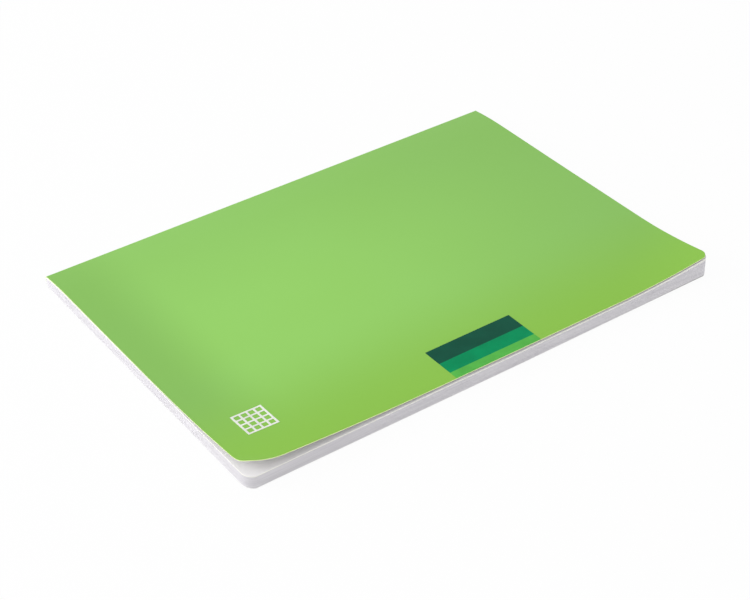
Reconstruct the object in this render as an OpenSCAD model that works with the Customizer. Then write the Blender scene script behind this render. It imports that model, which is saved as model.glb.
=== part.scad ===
// A soft-covered grid notebook, saddle stitched, lying closed on its back cover.
// X runs from the spine (-X) to the fore edge (+X), Y from the foot of the pages
// to their head, Z up. The origin is under the middle of the back cover.

/* [Pages] */
// Width of a page, spine to fore edge
page_w = 148; // [105:1:210]
// Height of a page, foot to head
page_h = 210; // [148:1:297]
// Number of leaves, two to a folded sheet
leaf_count = 48; // [40:4:96]
// Thickness of one leaf
leaf_thick = 0.105; // [0.09:0.005:0.14]
// Radius of the two round corners at the fore edge
corner_r = 5.3; // [2:0.1:10]
// How far the round corners are cut past the fore edge, which leaves a faint angle there
corner_slip = 0.6; // [0:0.05:1]

/* [Cover] */
// Thickness of the cover card
card_thick = 0.3; // [0.2:0.05:0.4]
// Air between the cover card and the pages, all round
page_gap = 0.1; // [0.05:0.01:0.2]
// How much thinner the notebook is at the pressed fold than in its middle
spine_pinch = 0.85; // [0.2:0.05:1]
// Distance from the spine over which it reaches its full thickness
spine_swell = 16; // [8:1:30]
// Outer radius of the crease where the front cover starts
crease_r = 0.9; // [0.7:0.05:1.2]

/* [Curl of the cover] */
// Lift of the front cover along the whole fore edge
fore_bow = 0.55; // [0:0.05:2]
// Lift of the first page along the fore edge
page_bow = 0.15; // [0:0.05:0.5]
// Distance from the fore edge over which both of them bend
bow_width = 66; // [30:1:90]
// More lift of the front cover towards the foot corner
foot_curl = 3.2; // [0:0.1:6]
// Distance from the fore edge at which it ends
foot_curl_width = 72; // [20:1:100]
// Distance along the fore edge at which it ends
foot_curl_reach = 85; // [20:1:120]
// Still more lift at the tip of the foot corner
foot_tip = 4; // [0:0.1:6]
// Distance from the fore edge at which the tip's bend starts
foot_tip_width = 10.5; // [8:0.5:40]
// Distance along the fore edge at which the tip's bend starts
foot_tip_reach = 17; // [8:0.5:40]
// More lift of the front cover towards the head corner
head_curl = 3.5; // [0:0.1:6]
// Distance from the fore edge at which it ends
head_curl_width = 40; // [20:1:100]
// Distance along the fore edge at which it ends
head_curl_reach = 50; // [20:1:120]
// Share of the head curl that the top pages follow
page_follow = 0.85; // [0:0.05:0.9]

/* [Staples] */
// Diameter of the staple wire
wire_d = 0.5; // [0.4:0.05:0.6]
// Length of a staple's back, on the outside of the spine
staple_back = 12; // [8:0.5:16]
// Distance of each staple from the middle of the spine
staple_offset = 52; // [20:1:60]
// Depth of the folded sheets that a staple goes through
staple_depth = 2.6; // [2:0.1:4]
// Length of each bent-over leg end
clinch = 4.5; // [2:0.25:5]
// Air round the wire where it lies in the fold and in the pages
wire_gap = 0.06; // [0.04:0.01:0.1]

/* [Printed fields] */
// Length of the printed stripes, along the fore edge
stripe_len = 38.5; // [20:0.5:60]
// Distance of the stripes' middle from the middle of the page, towards the head
stripe_shift = 2.2; // [-40:0.1:40]
// Width of the dark stripe, furthest from the fore edge
dark_w = 8.5; // [4:0.25:12]
// Width of the middle stripe
mid_w = 6.5; // [3:0.25:10]
// Width of the light stripe, which runs into the fore edge
light_w = 4.5; // [2:0.25:8]
// Side of the small lattice mark near the foot
mark_side = 12.6; // [8:0.1:20]
// Distance from the fore edge to the lattice mark
mark_from_fore = 17.4; // [12:0.1:40]
// Distance from the foot to the lattice mark
mark_from_foot = 11.4; // [8:0.1:40]
// Number of squares along one side of the lattice mark
mark_cells = 4; // [2:1:6]
// Width of a line of the lattice mark
mark_line = 0.8; // [0.4:0.1:1]
// Thickness at which a printed field is drawn
ink_thick = 0.05; // [0.03:0.01:0.1]
// Air under a printed field, which keeps it clear of the card
ink_gap = 0.02; // [0.01:0.01:0.05]

/* [Hidden] */

$fn = 64;

stack = leaf_count * leaf_thick;
closed_h = stack + 2 * card_thick + 2 * page_gap;
spine_h = closed_h - spine_pinch;
// The back cover turns up round the sheets to half the height of the spine,
// where the notebook folds when its last page is opened.
fold_z = spine_h / 2;
wire_r = wire_d / 2;
wire_bend = wire_d;
wire_z = fold_z + wire_r + wire_gap + page_gap;

PRINT_GREEN = [0.58, 0.80, 0.40];
CARD_GREEN = [0.55, 0.77, 0.38];
PAPER = [0.93, 0.92, 0.94];
STEEL = [0.72, 0.73, 0.75];
DARK_INK = [0.10, 0.36, 0.27];
MID_INK = [0.00, 0.57, 0.38];
LIGHT_INK = [0.38, 0.74, 0.32];
WHITE_INK = [0.97, 0.98, 0.95];

// Distances t are measured from the spine's outer face. A bend starts flat at a
// share of 1 and reaches 1 at a share of 0. A corner bends across its diagonal.
function bend(share) = pow(max(0, 1 - share), 2);
function corner(from_fore, from_end, width, reach) = bend(from_fore / width + from_end / reach);
function swell(t) = t - crease_r >= spine_swell ? spine_pinch
    : spine_pinch * (1 - pow(1 - (t - crease_r) / spine_swell, 2));
function bow(t) = bend((page_w - t) / bow_width);
function foot_share(t, y) = corner(page_w - t, page_h / 2 + y, foot_curl_width, foot_curl_reach);
function foot_lift(t, y) = foot_curl * foot_share(t, y)
    + foot_tip * corner(page_w - t, page_h / 2 + y, foot_tip_width, foot_tip_reach);
function head_lift(t, y) = head_curl
    * corner(page_w - t, page_h / 2 - y, head_curl_width, head_curl_reach);

// Heights of the front cover's outer face and of the first page. The pages stay
// down under the curl at the foot.
function cover_z(t, y) = spine_h + swell(t) + fore_bow * bow(t)
    + foot_lift(t, y) + head_lift(t, y);
function page_lift(t, y) = page_bow * bow(t) * (1 - foot_share(t, y))
    + page_follow * head_lift(t, y);
function page_z(t, y) = t < crease_r
    ? spine_h - crease_r + round_off(crease_r - t, crease_r - card_thick - page_gap)
    : spine_h - card_thick - page_gap + swell(t) + page_lift(t, y);
// Height of the last page, which follows the back cover's turn-up.
function last_page_z(t) = t < fold_z
    ? fold_z - round_off(fold_z - t, fold_z - card_thick - page_gap)
    : card_thick + page_gap;
function round_off(x, r) = sqrt(max(0, r * r - x * x));

// Half the height of the page at a distance t: it shortens in the round corners.
corner_t = page_w - corner_r + corner_slip;
corner_turn = asin(1 - corner_slip / corner_r);
function half_h(t) = page_h / 2 - corner_r + round_off(max(0, t - corner_t), corner_r);

// Stations across the page lie closest near the spine and the fore edge, where
// the cover bends. The pages have a few more inside the crease.
crowding = 0.6;
function to_ends(share) = share - crowding * sin(360 * share) / (2 * PI);
turn_steps = 5;
flat_steps = 28;
corner_steps = 6;
row_steps = 30;
inner_t = card_thick + page_gap;
cover_stations = concat(
    [for (i = [0 : turn_steps - 1]) crease_r + (fold_z - crease_r) * i / turn_steps],
    [for (i = [0 : flat_steps - 1]) fold_z + (corner_t - fold_z) * to_ends(i / flat_steps)],
    [for (i = [0 : corner_steps - 1]) corner_t + corner_r * sin(corner_turn * i / corner_steps)],
    [page_w]);
page_stations = concat(
    [for (i = [0 : turn_steps - 1]) inner_t + (crease_r - inner_t) * (1 - cos(90 * i / turn_steps))],
    cover_stations);
// Rows lie closest at the head and the foot, where the cover curls.
rows = [for (j = [0 : row_steps]) -cos(180 * j / row_steps)];

function grid_faces(nt, nr) = [
    for (i = [0 : nt - 2]) for (j = [0 : nr - 2])
        let (a = i * nr + j, b = a + 1, c = a + nr, d = c + 1)
        each [[a, b, d], [a, d, c]]
];
function turned(faces, shift) = [for (f = faces) [f[0] + shift, f[2] + shift, f[1] + shift]];
function rim(nt, nr) = concat(
    [for (i = [0 : nt - 2]) i * nr],
    [for (j = [0 : nr - 2]) (nt - 1) * nr + j],
    [for (i = [nt - 1 : -1 : 1]) i * nr + nr - 1],
    [for (j = [nr - 1 : -1 : 1]) j]);
function rim_faces(loop, shift) = [
    for (k = [0 : len(loop) - 1])
        let (a = loop[k], b = loop[(k + 1) % len(loop)])
        each [[a, b, b + shift], [a, b + shift, a + shift]]
];

// Solid between two height functions. Each row follows a share of the half
// height given for its station, so the outline may narrow.
module between(stations, shares, half, upper, lower) {
    nt = len(stations);
    nr = len(shares);
    n = nt * nr;
    tops = [for (t = stations) for (v = shares) [t, v * half(t), upper(t, v * half(t))]];
    bottoms = [for (t = stations) for (v = shares) [t, v * half(t), lower(t, v * half(t))]];
    sheet = grid_faces(nt, nr);
    translate([-page_w / 2, 0, 0])
        polyhedron(
            points = concat(tops, bottoms),
            faces = concat(sheet, turned(sheet, n), rim_faces(rim(nt, nr), n)),
            convexity = 4);
}

// Extrusion along the whole spine of an outline drawn in t and Z.
module along_spine() {
    translate([-page_w / 2, page_h / 2, 0])
        rotate([90, 0, 0])
            linear_extrude(page_h)
                children();
}

// Room inside the spine's card, drawn in t and Z: straight up, and round at the
// crease. It is inset from the card's outer face.
module creased(inset) {
    translate([crease_r, spine_h - crease_r])
        circle(crease_r - inset);
    translate([inset, 0])
        square([crease_r, spine_h - crease_r]);
}

// Room inside the back cover, drawn in t and Z: flat, and round at the fold. It is
// inset from the cover's outer face.
module turned_up(inset) {
    translate([fold_z, fold_z])
        circle(fold_z - inset);
    translate([fold_z, inset])
        square([page_w, fold_z]);
}

// Outline of the page from above, with its round corners. It is wider than the page
// by fold_z on the spine's side, and by corner_slip at the fore edge.
module rounded_page() {
    straight_h = page_h - 2 * corner_r;
    translate([-page_w / 2, 0]) {
        translate([-fold_z, -page_h / 2])
            square([corner_t + fold_z, page_h]);
        translate([-fold_z, -straight_h / 2])
            square([page_w + corner_slip + fold_z, straight_h]);
        for (side = [-1, 1])
            translate([corner_t, side * straight_h / 2])
                circle(corner_r);
    }
}

// Round wire bent by a quarter turn about the origin, from a start angle.
module elbow(r, start) {
    rotate([0, 0, start])
        rotate_extrude(angle = 90)
            translate([wire_bend, 0])
                circle(r);
}

// One staple: its back lies in the fold, its legs go through the folded sheets
// to the middle of the notebook and are bent towards each other there.
module wire(r, side) {
    corner_y = staple_back / 2 - wire_bend;
    leg_start = wire_r + wire_bend;
    leg_end = wire_r + staple_depth - wire_bend;
    translate([-page_w / 2, side * staple_offset, wire_z]) {
        translate([wire_r, -corner_y, 0])
            rotate([-90, 0, 0])
                cylinder(h = 2 * corner_y, r = r);
        for (end = [0, 1])
            mirror([0, end, 0]) {
                translate([leg_start, corner_y, 0])
                    elbow(r, 90);
                translate([leg_start, staple_back / 2, 0])
                    rotate([0, 90, 0])
                        cylinder(h = leg_end - leg_start, r = r);
                translate([leg_end, corner_y, 0])
                    elbow(r, 0);
                translate([leg_end + wire_bend, corner_y, 0])
                    rotate([90, 0, 0])
                        cylinder(h = clinch, r = r);
            }
    }
}

// Printed field between two stations and two rows, just above the card.
module printed_field(t0, t1, y0, y1) {
    t_steps = 4;
    y_steps = 10;
    mid = (y0 + y1) / 2;
    translate([0, mid, 0])
        between(
            [for (i = [0 : t_steps]) t0 + (t1 - t0) * i / t_steps],
            [for (j = [0 : y_steps]) 2 * j / y_steps - 1],
            function(t) (y1 - y0) / 2,
            function(t, y) cover_z(t, y + mid) + ink_gap + ink_thick,
            function(t, y) cover_z(t, y + mid) + ink_gap);
}

module stripe(from_edge, width) {
    printed_field(page_w - from_edge - width, page_w - from_edge,
        stripe_shift - stripe_len / 2, stripe_shift + stripe_len / 2);
}

// Square lattice of lines, its corner at the origin.
module lattice() {
    pitch = (mark_side - mark_line) / mark_cells;
    for (i = [0 : mark_cells]) {
        translate([i * pitch, 0])
            square([mark_line, mark_side]);
        translate([0, i * pitch])
            square([mark_side, mark_line]);
    }
}

module back_cover() {
    color(CARD_GREEN)
        intersection() {
            along_spine()
                intersection() {
                    difference() {
                        turned_up(0);
                        turned_up(card_thick);
                    }
                    translate([-fold_z, -fold_z])
                        square([page_w + fold_z, 2 * fold_z]);
                }
            translate([0, 0, -fold_z])
                linear_extrude(3 * fold_z)
                    rounded_page();
        }
}

module cover_spine() {
    color(CARD_GREEN)
        difference() {
            along_spine()
                intersection() {
                    difference() {
                        creased(0);
                        creased(card_thick);
                    }
                    translate([-crease_r, fold_z])
                        square([2 * crease_r, spine_h]);
                }
            for (side = [-1, 1])
                wire(wire_r + wire_gap, side);
        }
}

module front_cover() {
    color(PRINT_GREEN)
        between(cover_stations, rows, function(t) half_h(t),
            function(t, y) cover_z(t, y),
            function(t, y) cover_z(t, y) - card_thick);
}

module page_block() {
    color(PAPER)
        difference() {
            between(page_stations, rows, function(t) half_h(t),
                function(t, y) page_z(t, y),
                function(t, y) last_page_z(t));
            for (side = [-1, 1])
                wire(wire_r + wire_gap, side);
        }
}

module head_staple() {
    color(STEEL)
        wire(wire_r, 1);
}

module foot_staple() {
    color(STEEL)
        wire(wire_r, -1);
}

module dark_stripe() {
    color(DARK_INK)
        stripe(light_w + mid_w, dark_w);
}

module mid_stripe() {
    color(MID_INK)
        stripe(light_w, mid_w);
}

module light_stripe() {
    color(LIGHT_INK)
        stripe(0, light_w);
}

module lattice_mark() {
    t0 = page_w - mark_from_fore - mark_side;
    y0 = mark_from_foot - page_h / 2;
    color(WHITE_INK)
        intersection() {
            printed_field(t0, t0 + mark_side, y0, y0 + mark_side);
            translate([t0 - page_w / 2, y0, 0])
                linear_extrude(closed_h + fore_bow + foot_curl + foot_tip + ink_gap + ink_thick)
                    lattice();
        }
}

back_cover();
cover_spine();
front_cover();
page_block();
head_staple();
foot_staple();
dark_stripe();
mid_stripe();
light_stripe();
lattice_mark();
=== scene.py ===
# Looks of a soft-covered grid notebook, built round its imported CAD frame.
import math

import bpy
import numpy as np
from mathutils import Matrix, Vector


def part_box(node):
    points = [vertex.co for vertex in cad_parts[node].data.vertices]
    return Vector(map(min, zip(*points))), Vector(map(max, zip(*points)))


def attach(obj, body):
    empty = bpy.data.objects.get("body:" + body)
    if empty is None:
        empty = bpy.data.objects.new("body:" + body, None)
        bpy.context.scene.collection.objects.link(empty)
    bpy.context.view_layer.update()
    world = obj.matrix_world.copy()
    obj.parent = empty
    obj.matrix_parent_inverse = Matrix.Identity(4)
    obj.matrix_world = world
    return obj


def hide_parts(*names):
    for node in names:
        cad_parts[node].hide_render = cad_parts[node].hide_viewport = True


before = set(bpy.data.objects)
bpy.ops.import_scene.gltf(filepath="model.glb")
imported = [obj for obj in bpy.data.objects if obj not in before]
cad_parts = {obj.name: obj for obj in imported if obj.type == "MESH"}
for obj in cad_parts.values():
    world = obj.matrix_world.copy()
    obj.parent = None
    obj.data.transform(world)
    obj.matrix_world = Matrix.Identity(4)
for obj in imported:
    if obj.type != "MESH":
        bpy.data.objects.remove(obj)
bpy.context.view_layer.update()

MM = 0.001

# Sizes that the frame gives. Distances t are measured from the spine's outer face.
back_low, back_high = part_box("back_cover")
spine_low, spine_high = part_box("cover_spine")
pages_low, pages_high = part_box("page_block")
SPINE_X = back_low[0]
PAGE_W = back_high[0] - back_low[0]
PAGE_H = back_high[1] - back_low[1]
FOLD_Z = back_high[2]
SPINE_H = spine_high[2]
CREASE_R = spine_high[0] - spine_low[0]
PAGE_IN = pages_low[0] - SPINE_X

# Sizes that the part's source names, which its solids were made with. Only the tip of the
# foot corner is sharper here, by less than half a millimetre.
CARD = 0.3 * MM
CORNER_R = 5.3 * MM
CORNER_SLIP = 0.6 * MM
SPINE_PINCH = 0.85 * MM
SPINE_SWELL = 16 * MM
FORE_BOW = 0.55 * MM
BOW_WIDTH = 66 * MM
FOOT_CURL = 3.2 * MM
FOOT_CURL_WIDTH = 72 * MM
FOOT_CURL_REACH = 85 * MM
FOOT_TIP = 4.4 * MM
FOOT_TIP_WIDTH = 10.5 * MM
FOOT_TIP_REACH = 16 * MM
HEAD_CURL = 3.5 * MM
HEAD_CURL_WIDTH = 40 * MM
HEAD_CURL_REACH = 50 * MM
PAGE_BOW = 0.15 * MM
PAGE_FOLLOW = 0.85
LEAVES = 48
MARK_CELLS = 4
MARK_LINE = 0.8 * MM
INK_GAP = 0.02 * MM
INK_THICK = 0.05 * MM

# Looks only: the card's slight waviness, how far the covers stay inside the pages'
# edges, how the front cover springs up along the fore edge, how many of the top leaves
# are trimmed further out and carry a painted highlight on their edges, the lift of the
# block's underside at the head corner, the ruling.
RIPPLE = 0.09 * MM
COVER_SHORT = 0.35 * MM
TRIM_INSET = 0.12 * MM
COVER_SPRING = 0.3 * MM
TOP_LEAVES = 4
UNDER_LIFT = 0.9 * MM
UNDER_WIDTH = 34 * MM
UNDER_REACH = 90 * MM
UNDER_FOLLOW = 0.6
RULING_PITCH = 4 * MM
RULING_LINE = 0.2 * MM
RULING_MARGIN = 8 * MM
RULING_LIFT = 0.012 * MM

# The trimmed edges of the leaves: how far they are set back by chance, how often one is
# set back more, their waves, and the groove between two leaves with its share of a leaf.
LEAF_SET_BACK = 0.045 * MM
FAR_SET_BACK = 0.05 * MM
FAR_SHARE = 0.15
TOP_SET_BACK_SHARE = 0.2
LEAF_WAVE = 0.012 * MM
GROOVE_DEPTH = 0.07 * MM
GROOVE_SHARE = 0.16


def bend(share):
    """Starts flat at a share of 1 and reaches 1 at a share of 0."""
    return np.clip(1 - share, 0, None) ** 2


def corner(t, from_end, width, reach):
    """A bend across the corner between the fore edge and the head or the foot."""
    return bend((PAGE_W - t) / width + from_end / reach)


def round_off(x, r):
    return np.sqrt(np.clip(r * r - x * x, 0, None))


def swell(t):
    return SPINE_PINCH * (1 - np.clip(1 - (t - CREASE_R) / SPINE_SWELL, 0, 1) ** 2)


def bow(t):
    return bend((PAGE_W - t) / BOW_WIDTH)


def foot_share(t, y):
    return corner(t, PAGE_H / 2 + y, FOOT_CURL_WIDTH, FOOT_CURL_REACH)


def foot_lift(t, y):
    tip = corner(t, PAGE_H / 2 + y, FOOT_TIP_WIDTH, FOOT_TIP_REACH)
    return FOOT_CURL * foot_share(t, y) + FOOT_TIP * tip


def head_share(t, y):
    return corner(t, PAGE_H / 2 - y, HEAD_CURL_WIDTH, HEAD_CURL_REACH)


def ripple(t, y):
    """Waviness of the card, which only ever lifts it, and starts past the crease."""
    waves = np.sin(t / (11 * MM) + y / (37 * MM)) * np.sin(y / (17 * MM) - t / (53 * MM))
    return RIPPLE * (0.5 + 0.5 * waves) * np.clip((t - CREASE_R) / SPINE_SWELL, 0, 1)


def cover_z(t, y):
    """Height of the front cover's printed face."""
    spring = COVER_SPRING * (1 - head_share(t, y))
    rise = swell(t) + (FORE_BOW + spring) * bow(t)
    return SPINE_H + rise + foot_lift(t, y) + HEAD_CURL * head_share(t, y) + ripple(t, y)


def under_lift(t, y):
    """Lift of the back cover and the lowest leaves at the head corner."""
    along = np.clip(1 - (PAGE_H / 2 - y) / UNDER_REACH, 0, None)
    return UNDER_LIFT * bend((PAGE_W - t) / UNDER_WIDTH) * along


def first_page_z(t, y):
    """Height of the first page, which turns down into the crease at the spine."""
    lift = PAGE_BOW * bow(t) * (1 - foot_share(t, y)) + UNDER_FOLLOW * under_lift(t, y)
    lift = lift + PAGE_FOLLOW * HEAD_CURL * head_share(t, y)
    flat = SPINE_H - PAGE_IN + swell(t) + lift
    crease = SPINE_H - CREASE_R + round_off(CREASE_R - t, CREASE_R - PAGE_IN)
    return np.where(t < CREASE_R, crease, flat)


def last_page_z(t, y):
    """Height of the last page, which turns up at the spine."""
    turn = FOLD_Z - round_off(FOLD_Z - t, FOLD_Z - PAGE_IN)
    return np.where(t < FOLD_Z, turn, PAGE_IN) + under_lift(t, y)


CORNER_T = PAGE_W - CORNER_R + CORNER_SLIP


def half_height(t, inset=0, short=0):
    """Half the page's height at t, shorter in the round corners, less inset all round.
    A sheet that is short ends that much before the fore edge."""
    into_corner = np.clip(t + short - CORNER_T, 0, None)
    return PAGE_H / 2 - CORNER_R + round_off(into_corner, CORNER_R - inset)


def across_page(start, flat_steps, corner_steps, inset=0, short=0):
    """Stations from start to the fore edge, evenly spaced and then round the corner."""
    r = CORNER_R - inset
    flat = np.linspace(start, CORNER_T - short, flat_steps, endpoint=False)
    full_turn = math.asin((PAGE_W - inset - CORNER_T) / r)
    round_part = CORNER_T - short + r * np.sin(np.linspace(0, full_turn, corner_steps))
    return np.concatenate([flat, round_part])


def points(t, y, z):
    """Points in the row frame from distances to the spine, heights on the page and Z."""
    t, y, z = np.broadcast_arrays(t, y, z)
    return np.stack([t + SPINE_X, y, z], axis=-1)


def paint(colour, alpha=1.0):
    return (*colour, alpha)


class Shader:
    """A material of one Principled shader, with short calls for the nodes that feed it."""

    def __init__(self, name, colour, roughness, **inputs):
        self.material = bpy.data.materials.new(name)
        self.material.use_nodes = True
        self.tree = self.material.node_tree
        self.bsdf = self.tree.nodes["Principled BSDF"]
        self.bsdf.inputs["Base Color"].default_value = paint(colour)
        self.bsdf.inputs["Roughness"].default_value = roughness
        for socket, value in inputs.items():
            self.bsdf.inputs[socket.replace("_", " ")].default_value = value
        self.coords = self.node("ShaderNodeTexCoord").outputs["Object"]

    def node(self, kind, **settings):
        made = self.tree.nodes.new(kind)
        for key, value in settings.items():
            setattr(made, key, value)
        return made

    def link(self, out, into):
        self.tree.links.new(out, into)

    def axis(self, letter):
        """One of the object coordinates."""
        split = self.node("ShaderNodeSeparateXYZ")
        self.link(self.coords, split.inputs["Vector"])
        return split.outputs[letter]

    def stretched(self, scale):
        """Object coordinates, each multiplied by its own factor."""
        mapping = self.node("ShaderNodeMapping")
        mapping.inputs["Scale"].default_value = scale
        self.link(self.coords, mapping.inputs["Vector"])
        return mapping.outputs["Vector"]

    def noise(self, size, detail=2.0, roughness=0.5, stretch=(1, 1, 1)):
        """Noise whose blotches are about size metres across, times stretch."""
        tex = self.node("ShaderNodeTexNoise")
        tex.inputs["Scale"].default_value = 1.0
        tex.inputs["Detail"].default_value = detail
        tex.inputs["Roughness"].default_value = roughness
        scale = tuple(1 / (size * s) for s in stretch)
        self.link(self.stretched(scale), tex.inputs["Vector"])
        return tex.outputs["Fac"]

    def ranged(self, value, low, high, to_low, to_high, smooth=False):
        node = self.node("ShaderNodeMapRange")
        node.interpolation_type = "SMOOTHSTEP" if smooth else "LINEAR"
        numbers = {"From Min": low, "From Max": high, "To Min": to_low, "To Max": to_high}
        for socket, number in numbers.items():
            node.inputs[socket].default_value = number
        self.link(value, node.inputs["Value"])
        return node.outputs["Result"]

    def mixed(self, factor, first, second, blend_type="MIX"):
        """Mix of two colours, each a triple or another node's output."""
        node = self.node("ShaderNodeMix", data_type="RGBA", blend_type=blend_type)
        self.link(factor, node.inputs["Factor"])
        for socket, colour in zip(node.inputs[6:8], (first, second)):
            if isinstance(colour, tuple):
                socket.default_value = paint(colour)
            else:
                self.link(colour, socket)
        return node.outputs[2]

    def colour(self, out):
        self.link(out, self.bsdf.inputs["Base Color"])

    def roughness(self, out):
        self.link(out, self.bsdf.inputs["Roughness"])

    def bump(self, *layers):
        """Bump from (height output, depth in metres) layers, one over the other."""
        normal = None
        for height, depth in layers:
            node = self.node("ShaderNodeBump")
            node.inputs["Strength"].default_value = 1.0
            node.inputs["Distance"].default_value = depth
            self.link(height, node.inputs["Height"])
            if normal is not None:
                self.link(normal, node.inputs["Normal"])
            normal = node.outputs["Normal"]
        self.link(normal, self.bsdf.inputs["Normal"])


# Colours, linear.
# The cover's greens: its print, with painted light in how they change from the middle to the rim, the
# foot and the fore edge.
CENTRE_GREEN = (0.312, 0.650, 0.145)
RIM_GREEN = (0.265, 0.545, 0.132)
FORE_GREEN = (0.272, 0.555, 0.080)
FOOT_GREEN = (0.250, 0.520, 0.120)
DARK_INK = (0.006, 0.088, 0.052)
MID_INK = (0.000, 0.290, 0.108)
LIGHT_INK = (0.105, 0.500, 0.080)
WHITE_INK = (0.900, 0.920, 0.860)
CARD_WHITE = (0.830, 0.830, 0.800)
CUT_CARD = (0.840, 0.940, 0.480)
BACK_CUT = (0.800, 0.790, 0.790)
# Painted shadow on the back cover's cut edge towards the head corner.
BACK_CUT_PAINTED_SHADOW = (0.220, 0.215, 0.210)
PAPER = (0.920, 0.905, 0.915)
PAGE_EDGE = (0.780, 0.765, 0.790)
PAGE_EDGE_SHADE = (0.640, 0.625, 0.660)
# Painted highlight: the top leaves' edges, lighter and creamier than the rest of the block's edges.
TOP_EDGE = (0.960, 0.945, 0.900)
TOP_EDGE_SHADE = (0.900, 0.885, 0.820)
RULING = (0.420, 0.520, 0.640)
STEEL = (0.620, 0.630, 0.640)
FILM_GLOSS = 0.05

# Middle of the painted pool of light on the cover's green, in shares of the page from its middle.
LIGHTEST_X = 0.04
LIGHTEST_Y = -0.22


def laminate(shader, bump_depth=0.006 * MM):
    """Satin film over print: a faint orange peel, and a roughness that drifts."""
    shader.bsdf.inputs["Specular IOR Level"].default_value = FILM_GLOSS
    peel = shader.noise(0.9 * MM, detail=3)
    fibre = shader.noise(0.18 * MM, detail=1)
    drift = shader.noise(30 * MM, detail=3)
    shader.roughness(shader.ranged(drift, 0.3, 0.7, 0.34, 0.44))
    shader.bump((peel, bump_depth), (fibre, bump_depth / 4))


def printed_card_painted_light(name):
    """The cover's green, with painted light: lighter in the middle as a painted pool of light,
    deeper towards the rim and along the foot as painted shade, and yellower and darker
    towards the fore edge, partly in the print and partly as painted shade."""
    shader = Shader(name, CENTRE_GREEN, 0.4)
    centred = shader.node("ShaderNodeMapping")
    centred.inputs["Location"].default_value = (-LIGHTEST_X, -LIGHTEST_Y, 0)
    centred.inputs["Scale"].default_value = (1 / PAGE_W, 1 / PAGE_H, 0)
    shader.link(shader.coords, centred.inputs["Vector"])
    length = shader.node("ShaderNodeVectorMath", operation="LENGTH")
    shader.link(centred.outputs["Vector"], length.inputs[0])
    foot = -PAGE_H / 2
    # Painted light: a pool of light round the middle, and painted shade towards the rim and the foot.
    to_rim = shader.ranged(length.outputs["Value"], 0.05, 0.85, 0, 1, smooth=True)
    to_fore = shader.ranged(shader.axis("X"), 20 * MM, PAGE_W / 2, 0, 1, smooth=True)
    to_foot = shader.ranged(shader.axis("Y"), foot + 35 * MM, foot + 5 * MM, 0, 1, smooth=True)
    green = shader.mixed(to_rim, CENTRE_GREEN, RIM_GREEN)
    green = shader.mixed(to_foot, green, FOOT_GREEN)
    green = shader.mixed(to_fore, green, FORE_GREEN)
    cloud = shader.ranged(shader.noise(45 * MM, detail=2), 0.3, 0.7, 0, 0.08)
    green = shader.mixed(cloud, green, FORE_GREEN)
    shader.colour(green)
    laminate(shader)
    return shader.material


def printed_ink(name, colour):
    """A printed field under the same film, a little uneven as ink is."""
    shader = Shader(name, colour, 0.4)
    darker = tuple(0.86 * c for c in colour)
    uneven = shader.ranged(shader.noise(7 * MM, detail=3), 0.35, 0.65, 0, 1)
    shader.colour(shader.mixed(uneven, colour, darker))
    laminate(shader)
    return shader.material


def bare_card(name, colour):
    """Uncoated back of the card, with its fibres."""
    shader = Shader(name, colour, 0.75)
    fibres = shader.noise(0.5 * MM, detail=3, stretch=(3, 1, 1))
    flecks = shader.ranged(fibres, 0.4, 0.7, 0, 0.25)
    shader.colour(shader.mixed(flecks, colour, tuple(0.9 * c for c in colour)))
    shader.bump((fibres, 0.012 * MM))
    return shader.material


def back_card_edge(name):
    """Cut edge of the back cover, with painted shadow that darkens it towards the lifted head corner.
    """
    shader = Shader(name, BACK_CUT, 0.75)
    # Painted shadow, darkest at the head corner.
    painted_shadow_to_head = shader.ranged(shader.axis("Y"), 55 * MM, PAGE_H / 2, 0, 1)
    shader.colour(shader.mixed(painted_shadow_to_head, BACK_CUT, BACK_CUT_PAINTED_SHADOW))
    shader.bump((shader.noise(0.5 * MM, detail=3, stretch=(3, 1, 1)), 0.012 * MM))
    return shader.material


def page_paper(name):
    """Smooth writing paper: a faint cloud in its tone and fine fibres."""
    shader = Shader(name, PAPER, 0.68)
    cloud = shader.ranged(shader.noise(6 * MM, detail=4), 0.35, 0.65, 0, 0.35)
    shader.colour(shader.mixed(cloud, PAPER, tuple(0.95 * c for c in PAPER)))
    shader.bump((shader.noise(0.35 * MM, detail=3), 0.008 * MM))
    return shader.material


def page_edges(name, colour, shade):
    """Trimmed edges of the leaves: streaks that run along the block."""
    shader = Shader(name, colour, 0.8)
    leaf = (pages_high[2] - pages_low[2]) / LEAVES
    streaks = shader.noise(2.2 * leaf, detail=3, stretch=(60, 60, 1))
    patches = shader.noise(14 * MM, detail=2)
    tone = shader.ranged(streaks, 0.35, 0.68, 0, 0.7)
    edge = shader.mixed(tone, colour, shade)
    drift = shader.ranged(patches, 0.35, 0.7, 0, 0.15)
    shader.colour(shader.mixed(drift, edge, shade))
    shader.bump((streaks, 0.03 * MM))
    return shader.material


def ruling_ink(name):
    """Thin offset ink of the grid, slightly broken by the paper's grain."""
    shader = Shader(name, RULING, 0.7)
    grain = shader.ranged(shader.noise(0.4 * MM, detail=2), 0.4, 0.75, 0, 0.5)
    shader.colour(shader.mixed(grain, RULING, PAPER))
    return shader.material


def staple_wire(name):
    """Drawn steel wire, with fine lines along it."""
    shader = Shader(name, STEEL, 0.32, Metallic=1.0)
    lines = shader.noise(0.06 * MM, detail=2, stretch=(1, 40, 1))
    shader.roughness(shader.ranged(lines, 0.3, 0.7, 0.26, 0.42))
    shader.bump((lines, 0.004 * MM))
    return shader.material


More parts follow.
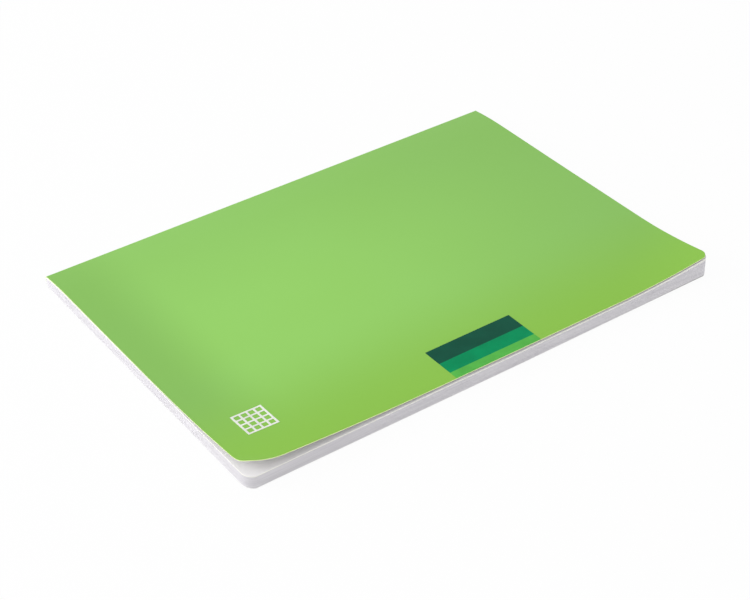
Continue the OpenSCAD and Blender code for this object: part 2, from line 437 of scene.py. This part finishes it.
GREEN_PRINT_PAINTED_LIGHT = printed_card_painted_light("green_print_painted_light")
BARE_CARD = bare_card("bare_card", CARD_WHITE)
CARD_EDGE = bare_card("card_edge", CUT_CARD)
BACK_CARD_EDGE = back_card_edge("back_card_edge")
PAGE_PAPER = page_paper("page_paper")
PAGE_EDGES = page_edges("page_edges", PAGE_EDGE, PAGE_EDGE_SHADE)
# The same edges made lighter, a painted highlight on the top leaves.
TOP_EDGES_PAINTED_HIGHLIGHT = page_edges("top_leaf_edges_painted_highlight", TOP_EDGE, TOP_EDGE_SHADE)
RULING_INK = ruling_ink("ruling_ink")
STAPLE_WIRE = staple_wire("staple_wire")


def add_piece(name, verts, faces, face_materials, materials, body, replaced=None):
    """New mesh piece, smooth but for its sharp edges, that rides on a body."""
    mesh = bpy.data.meshes.new(name)
    mesh.from_pydata(verts.reshape(-1, 3).tolist(), [], faces)
    for material in materials:
        mesh.materials.append(material)
    mesh.polygons.foreach_set("material_index", face_materials)
    mesh.polygons.foreach_set("use_smooth", [True] * len(faces))
    mesh.set_sharp_from_angle(angle=math.radians(35))
    mesh.update()
    piece = bpy.data.objects.new(name, mesh)
    bpy.context.scene.collection.objects.link(piece)
    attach(piece, body)
    if replaced:
        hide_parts(replaced)
    return piece


def grid_quads(index):
    """Faces of a grid of vertex numbers, seen with its second axis to the left of its first."""
    corners = (index[:-1, :-1], index[1:, :-1], index[1:, 1:], index[:-1, 1:])
    return np.stack(corners, axis=-1).reshape(-1, 4)


def rim_of(index):
    """Vertex numbers round the edge of a grid, in the order of its faces."""
    return np.concatenate([index[:-1, 0], index[-1, :-1], index[:0:-1, -1], index[0, :0:-1]])


def open_edges(quads):
    """Edges that only one of the faces has, each in the direction of its face."""
    ends = np.concatenate([np.roll(quads, -k, axis=1)[:, :2] for k in range(4)])
    directed = set(map(tuple, ends.tolist()))
    return np.array(sorted(edge for edge in directed if edge[::-1] not in directed))


def closed_sheet(name, upper, lower, materials, body, replaced=None, keep=None):
    """Closed piece between two grids of points. materials are for the upper face,
    the lower face and the cut edge. keep says which cells of the grid are there."""
    n = upper.shape[0] * upper.shape[1]
    top = grid_quads(np.arange(n).reshape(upper.shape[:2]))
    if keep is not None:
        top = top[keep.reshape(-1)]
    bottom = top[:, ::-1] + n
    start, end = open_edges(top).T
    edge = np.stack([end, start, start + n, end + n], axis=-1)
    faces = np.concatenate([top, bottom, edge])
    kinds = np.repeat([0, 1, 2], [len(top), len(bottom), len(edge)])
    verts = np.concatenate([upper.reshape(-1, 3), lower.reshape(-1, 3)])
    return add_piece(name, verts, faces.tolist(), kinds, materials, body, replaced)


# Rows of points from the foot to the head, in shares of half the height there.
ROWS = np.linspace(-1, 1, 121)
CARD_FACES = (GREEN_PRINT_PAINTED_LIGHT, BARE_CARD, CARD_EDGE)


def front_cover():
    t = across_page(CREASE_R, 88, 12, TRIM_INSET, COVER_SHORT)[:, None]
    y = half_height(t, TRIM_INSET, COVER_SHORT) * ROWS
    z = cover_z(t, y)
    closed_sheet("front_cover_card", points(t, y, z), points(t, y, z - CARD),
                 CARD_FACES, "front_cover", "front_cover")


def cover_spine():
    """From the lower fold up the spine and round the crease to the front cover."""
    arc = np.linspace(0, math.pi / 2, 10)
    wall_z = np.linspace(FOLD_Z, SPINE_H - CREASE_R, 8, endpoint=False)
    inner_r = CREASE_R - CARD

    def face(r, wall_t):
        t = np.concatenate([np.full_like(wall_z, wall_t), CREASE_R - r * np.cos(arc)])
        z = np.concatenate([wall_z, SPINE_H - CREASE_R + r * np.sin(arc)])
        return points(t[:, None], ROWS * PAGE_H / 2, z[:, None])

    closed_sheet("cover_spine_card", face(CREASE_R, 0), face(inner_r, CARD),
                 CARD_FACES, "pages", "cover_spine")


def back_cover():
    """From the lower fold round the turn-up and out to the fore edge."""
    arc = np.linspace(0, math.pi / 2, 16)[:-1]
    flat_t = across_page(FOLD_Z, 60, 12, TRIM_INSET)

    def face(r, flat_z):
        t = np.concatenate([FOLD_Z - r * np.cos(arc), flat_t])[:, None]
        z = np.concatenate([FOLD_Z - r * np.sin(arc), np.full_like(flat_t, flat_z)])[:, None]
        y = half_height(t, TRIM_INSET) * ROWS
        return points(t, y, z + under_lift(t, y))

    closed_sheet("back_cover_card", face(FOLD_Z - CARD, CARD), face(FOLD_Z, 0),
                 (BARE_CARD, GREEN_PRINT_PAINTED_LIGHT, BACK_CARD_EDGE), "back_cover", "back_cover")


def page_block():
    """The folded leaves: both outer pages, and each leaf's trimmed edge round them."""
    chance = np.random.default_rng(11)
    crease = PAGE_IN + (CREASE_R - PAGE_IN) * (1 - np.cos(np.linspace(0, math.pi / 2, 7)[:-1]))
    turn = np.linspace(CREASE_R, FOLD_Z, 8, endpoint=False)
    t = np.concatenate([crease, turn, across_page(FOLD_Z, 64, 12)])[:, None]
    y = half_height(t) * ROWS
    top = points(t, y, first_page_z(t, y)).reshape(-1, 3)
    bottom = points(t, y, last_page_z(t, y)).reshape(-1, 3)
    index = np.arange(len(top)).reshape(y.shape)
    rim = rim_of(index)
    along = np.roll(top[rim], -1, axis=0) - np.roll(top[rim], 1, axis=0)
    inward = np.stack([-along[:, 1], along[:, 0]], axis=-1)
    inward /= np.linalg.norm(inward, axis=1)[:, None]
    trimmed = np.clip((top[rim, 0] - SPINE_X - PAGE_IN) / FOLD_Z, 0, 1)
    angle = np.linspace(0, 2 * math.pi, len(rim), endpoint=False)

    def ring(share, recess):
        """Vertices round the block at a share of its thickness, set in by recess."""
        at = bottom[rim] + share * (top[rim] - bottom[rim])
        at[:, :2] += inward * (recess * trimmed)[:, None]
        return at

    rings = [bottom[rim]]
    for leaf in range(LEAVES):
        set_back = LEAF_SET_BACK * chance.random()
        set_back += FAR_SET_BACK * (chance.random() > 1 - FAR_SHARE)
        if leaf >= LEAVES - TOP_LEAVES:
            set_back *= TOP_SET_BACK_SHARE
        waves, phase = chance.integers(2, 9), chance.random() * 2 * math.pi
        recess = set_back + LEAF_WAVE * (1 + np.sin(waves * angle + phase))
        rings.append(ring((leaf + GROOVE_SHARE) / LEAVES, recess))
        rings.append(ring((leaf + 1 - GROOVE_SHARE) / LEAVES, recess))
        if leaf < LEAVES - 1:
            rings.append(ring((leaf + 1) / LEAVES, recess + GROOVE_DEPTH))
    rings.append(top[rim])
    walls = np.stack(rings)
    n, count = len(top), len(rim)
    wall_index = 2 * n + np.arange(walls[1:-1].size // 3).reshape(-1, count)
    wall_index = np.concatenate([rim[None] + n, wall_index, rim[None]])
    wall_index = np.concatenate([wall_index, wall_index[:, :1]], axis=1)
    edge = grid_quads(wall_index.T)
    faces = np.concatenate([grid_quads(index), grid_quads(index)[:, ::-1] + n, edge])
    bands = len(rings) - 1
    band = np.arange(len(edge)) % bands
    # The top leaves' bands get the lighter edges, a painted highlight.
    edge_kinds = np.where(band < bands - 3 * TOP_LEAVES, 1, 2)
    kinds = np.concatenate([np.zeros(len(faces) - len(edge), int), edge_kinds])
    verts = np.concatenate([top, bottom, walls[1:-1].reshape(-1, 3)])
    add_piece("leaf_block", verts, faces.tolist(), kinds, (PAGE_PAPER, PAGE_EDGES, TOP_EDGES_PAINTED_HIGHLIGHT),
              "pages", "page_block")


def ruling(name, page_z, lift):
    """Grid of thin printed lines on a page, a blank margin all round it."""
    t_first, t_last = RULING_MARGIN, PAGE_W - RULING_MARGIN
    y_reach = PAGE_H / 2 - RULING_MARGIN
    t_lines = np.arange(t_first, t_last + RULING_LINE, RULING_PITCH)
    y_lines = np.arange(-y_reach, y_reach + RULING_LINE, RULING_PITCH)
    t_last, y_last = t_lines[-1], y_lines[-1]
    half = RULING_LINE / 2
    grids = []
    for t0 in t_lines:
        across = np.array([t0 - half, t0 + half])[:, None]
        y = np.linspace(-y_reach - half, y_last + half, 70)
        grids.append(points(across, y, page_z(across, y) + lift))
    for y0 in y_lines:
        t = np.linspace(t_first - half, t_last + half, 50)[:, None]
        y = np.array([y0 - half, y0 + half])
        grids.append(points(t, y, page_z(t, y) + 1.4 * lift))
    faces, start = [], 0
    for grid in grids:
        index = start + np.arange(grid.shape[0] * grid.shape[1]).reshape(grid.shape[:2])
        quads = grid_quads(index)
        faces.append(quads if lift > 0 else quads[:, ::-1])
        start += index.size
    verts = np.concatenate([grid.reshape(-1, 3) for grid in grids])
    faces = np.concatenate(faces)
    add_piece(name, verts, faces.tolist(), [0] * len(faces), (RULING_INK,), "pages")


def ink_field(name, node, material, keep=None, breaks=None):
    """Printed field on the front cover where its CAD node lies, as a thin closed sheet.
    keep says which cells of the grid given by breaks are printed."""
    low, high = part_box(node)
    if breaks is None:
        t_end = min(high[0] - SPINE_X, PAGE_W - TRIM_INSET - COVER_SHORT)
        t_breaks = np.linspace(low[0] - SPINE_X, t_end, 10)
        y_breaks = np.linspace(low[1], high[1], 28)
    else:
        t_breaks = low[0] - SPINE_X + breaks
        y_breaks = low[1] + breaks
    t = t_breaks[:, None]
    y = y_breaks[None, :]
    z = cover_z(t, y) + INK_GAP
    closed_sheet(name, points(t, y, z + INK_THICK), points(t, y, z), (material,) * 3,
                 "front_cover", node, keep)


def lattice_mark():
    """Square lattice: cells of the fine grid are printed where a line runs."""
    low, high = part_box("lattice_mark")
    side = high[0] - low[0]
    pitch = (side - MARK_LINE) / MARK_CELLS
    cell_steps = 3
    breaks, on_line = [], []
    for cell in range(MARK_CELLS + 1):
        breaks.append(cell * pitch)
        on_line.append(True)
        if cell < MARK_CELLS:
            gap = np.linspace(cell * pitch + MARK_LINE, (cell + 1) * pitch, cell_steps, endpoint=False)
            breaks.extend(gap)
            on_line.extend([False] * cell_steps)
    breaks.append(side)
    line = np.array(on_line)
    keep = line[:, None] | line[None, :]
    ink_field("lattice_print", "lattice_mark", printed_ink("white_ink", WHITE_INK),
              keep, np.array(breaks))


def staples():
    for name in ("head_staple", "foot_staple"):
        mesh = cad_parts[name].data
        mesh.materials.clear()
        mesh.materials.append(STAPLE_WIRE)


front_cover()
cover_spine()
back_cover()
page_block()
ruling("first_page_ruling", first_page_z, RULING_LIFT)
ruling("last_page_ruling", last_page_z, -RULING_LIFT)
ink_field("dark_print", "dark_stripe", printed_ink("dark_ink", DARK_INK))
ink_field("mid_print", "mid_stripe", printed_ink("mid_ink", MID_INK))
ink_field("light_print", "light_stripe", printed_ink("light_ink", LIGHT_INK))
lattice_mark()
staples()


def seen_directly(tree):
    """1 for rays of the camera, of gloss and through glass, 0 for diffuse light."""
    path = tree.nodes.new("ShaderNodeLightPath")
    total = path.outputs["Is Camera Ray"]
    for kind in ("Is Glossy Ray", "Is Transmission Ray"):
        either = tree.nodes.new("ShaderNodeMath")
        either.operation = "MAXIMUM"
        tree.links.new(total, either.inputs[0])
        tree.links.new(path.outputs[kind], either.inputs[1])
        total = either.outputs[0]
    return total


FLOOR_SIZE = 3.0
FLOOR_DROP = 0.03 * MM
FLOOR_WHITE = (0.90, 0.90, 0.90)
FLOOR_GLOW = 0.95
SKY_LEVEL = 0.60


def floor():
    """Pale floor. Part of what is seen of it is plain white, which keeps its shadow light."""
    bpy.ops.mesh.primitive_plane_add(size=FLOOR_SIZE, location=(0, 0, -FLOOR_DROP))
    plane = bpy.context.object
    plane.name = "floor"
    material = bpy.data.materials.new("floor")
    material.use_nodes = True
    tree = material.node_tree
    bsdf = tree.nodes["Principled BSDF"]
    bsdf.inputs["Base Color"].default_value = paint(FLOOR_WHITE)
    bsdf.inputs["Roughness"].default_value = 1.0
    bsdf.inputs["Specular IOR Level"].default_value = 0.0
    white = tree.nodes.new("ShaderNodeEmission")
    white.inputs["Color"].default_value = paint((1, 1, 1))
    white.inputs["Strength"].default_value = 1.0
    share = tree.nodes.new("ShaderNodeMath")
    share.operation = "MULTIPLY"
    share.inputs[1].default_value = FLOOR_GLOW
    tree.links.new(seen_directly(tree), share.inputs[0])
    mix = tree.nodes.new("ShaderNodeMixShader")
    tree.links.new(share.outputs[0], mix.inputs[0])
    tree.links.new(bsdf.outputs[0], mix.inputs[1])
    tree.links.new(white.outputs[0], mix.inputs[2])
    tree.links.new(mix.outputs[0], tree.nodes["Material Output"].inputs["Surface"])
    plane.data.materials.append(material)


def sky():
    world = bpy.data.worlds.new("studio")
    bpy.context.scene.world = world
    world.use_nodes = True
    tree = world.node_tree
    background = tree.nodes["Background"]
    background.inputs["Color"].default_value = paint((1, 1, 1))
    level = tree.nodes.new("ShaderNodeMapRange")
    level.inputs["To Min"].default_value = SKY_LEVEL
    level.inputs["To Max"].default_value = 1.0
    tree.links.new(seen_directly(tree), level.inputs["Value"])
    tree.links.new(level.outputs["Result"], background.inputs["Strength"])


def softbox(name, toward, distance, size, level):
    """Area lamp in a direction from the notebook. level is what it adds to white paper
    that faces it."""
    lamp = bpy.data.lights.new(name, "AREA")
    lamp.shape = "SQUARE"
    lamp.size = size
    lamp.energy = level * math.pi ** 2 * distance ** 2
    holder = bpy.data.objects.new(name, lamp)
    direction = Vector(toward).normalized()
    holder.location = direction * distance
    holder.rotation_euler = direction.to_track_quat("Z", "Y").to_euler()
    bpy.context.scene.collection.objects.link(holder)


def camera():
    """The photograph's camera: its place round the notebook, roll and lens."""
    azimuth, elevation, roll = (math.radians(a) for a in (55.67, 36.057, -1.452))
    distance = 711.15 * MM
    target = Vector((9.82 * MM, -7.93 * MM, 0))
    focal_px, frame_px, sensor = 1858.9, 750, 36.0
    back = Vector((math.sin(azimuth) * math.cos(elevation),
                   -math.cos(azimuth) * math.cos(elevation),
                   math.sin(elevation)))
    right = Vector((math.cos(azimuth), math.sin(azimuth), 0))
    up = back.cross(right)
    turn = Matrix.Rotation(roll, 3, "Z")
    axes = Matrix((right, up, back)).transposed() @ turn
    lens = bpy.data.cameras.new("camera")
    lens.sensor_width = sensor
    lens.lens = focal_px / frame_px * sensor
    lens.clip_start = 0.01
    holder = bpy.data.objects.new("camera", lens)
    holder.matrix_world = Matrix.Translation(target + back * distance) @ axes.to_4x4()
    bpy.context.scene.collection.objects.link(holder)
    bpy.context.scene.camera = holder


floor()
sky()
softbox("foot_side", (-0.50, -0.80, 0.34), 1.3, 0.9, 0.67)
softbox("front", (0.85, 0.25, 0.12), 1.5, 0.3, 0.16)
softbox("overhead", (-0.05, -0.15, 1.00), 1.5, 1.0, 0.18)
camera()
bpy.context.scene.view_settings.view_transform = "Standard"
